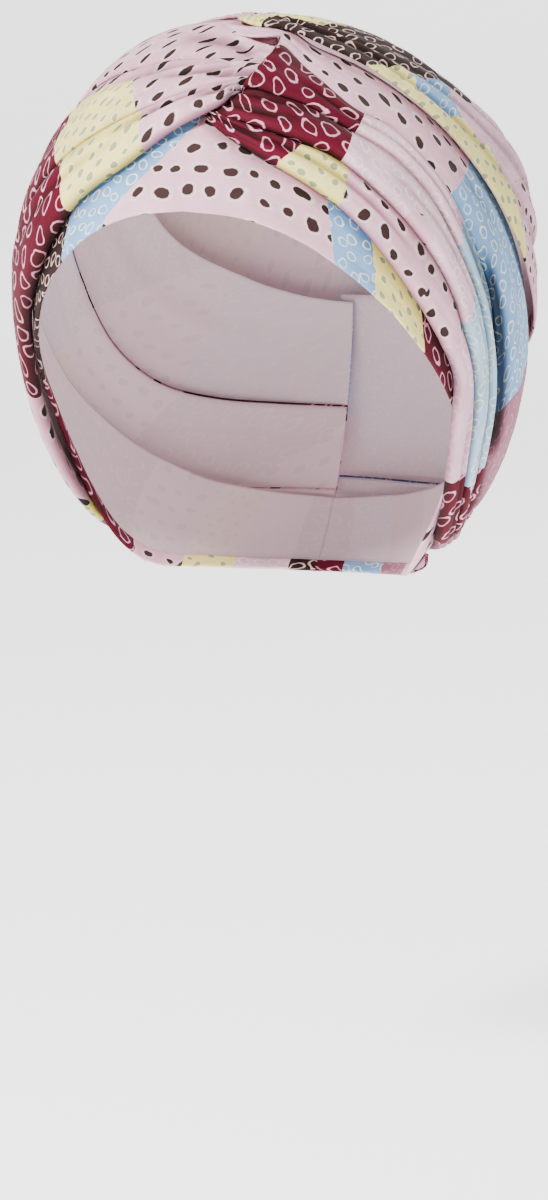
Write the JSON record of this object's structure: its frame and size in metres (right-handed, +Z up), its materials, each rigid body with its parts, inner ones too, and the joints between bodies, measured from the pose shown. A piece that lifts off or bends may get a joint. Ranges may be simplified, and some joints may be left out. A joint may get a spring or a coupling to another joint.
{
  "type": "turban headwrap",
  "caption": "Pre-tied jersey turban in its worn form, with swaths that cross above the forehead, a fitted face band and a slouched crown, in a tie-dye patchwork print.",
  "frame": {"origin": "middle of the wearer's head at the level of the hat line", "axes": "+Z up through the crown, -Y towards the face opening, +X towards the wearer's left"},
  "size_m": [0.1758, 0.2068, 0.2004],
  "materials": {
    "band_jersey": "printed fine knit, pale pink with dots, blue and yellow patches",
    "crown_jersey": "printed fine knit, dark brown with rings, pink and yellow patches",
    "left_jersey": "printed fine knit, pink with dots, yellow and burgundy patches",
    "right_jersey": "printed fine knit, burgundy with rings, pink and blue patches",
    "roll_jersey": "printed fine knit, pale pink",
    "gather_jersey": "printed fine knit, mauve, gathered"
  },
  "bodies": {
    "root": {"brim_band": "band_jersey", "crown": "crown_jersey", "left_drape": "left_jersey", "right_drape": "right_jersey", "cross_roll": "roll_jersey", "nape_gather": "gather_jersey"}
  },
  "joints": []
}
